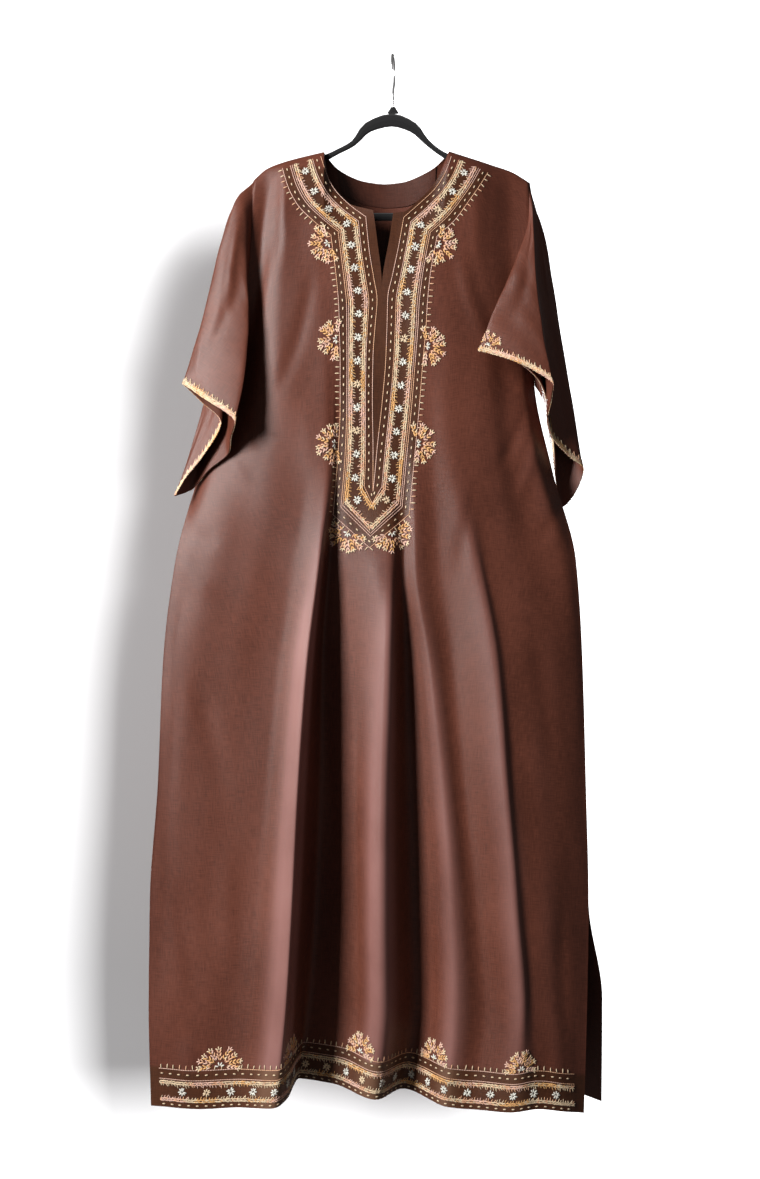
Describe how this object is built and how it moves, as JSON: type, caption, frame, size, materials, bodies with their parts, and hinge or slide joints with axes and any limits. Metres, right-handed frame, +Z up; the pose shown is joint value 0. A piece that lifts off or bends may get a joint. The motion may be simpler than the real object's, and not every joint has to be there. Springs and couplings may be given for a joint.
{
  "type": "kaftan on a clothes hanger",
  "caption": "Ankle-length hanging kaftan with a slit neck, wide short sleeves and side vents, on a slim hanger with a wire hook.",
  "frame": {"origin": "inside top of the hanger's hook, where a rail or a hand holds it", "axes": "+Z up, +Y towards the garment's back, +X to the right as seen from the front"},
  "size_m": [0.688, 0.167, 1.5966],
  "materials": {
    "brown_cotton": "plain-woven chocolate brown cotton with a soft pinkish sheen",
    "black_flock": "black flocked plastic, matt",
    "bright_steel": "plated steel wire",
    "embroidery_gold": "gold and peach cotton embroidery thread",
    "embroidery_cream": "cream and white cotton embroidery thread"
  },
  "bodies": {
    "root": {"front_panel": "brown_cotton", "back_panel": "brown_cotton", "sleeve_left": "brown_cotton", "sleeve_right": "brown_cotton", "back_neck_facing": "brown_cotton", "hanger_body": "black_flock", "hook_collar": "black_flock", "hanger_hook": "bright_steel"}
  },
  "joints": []
}
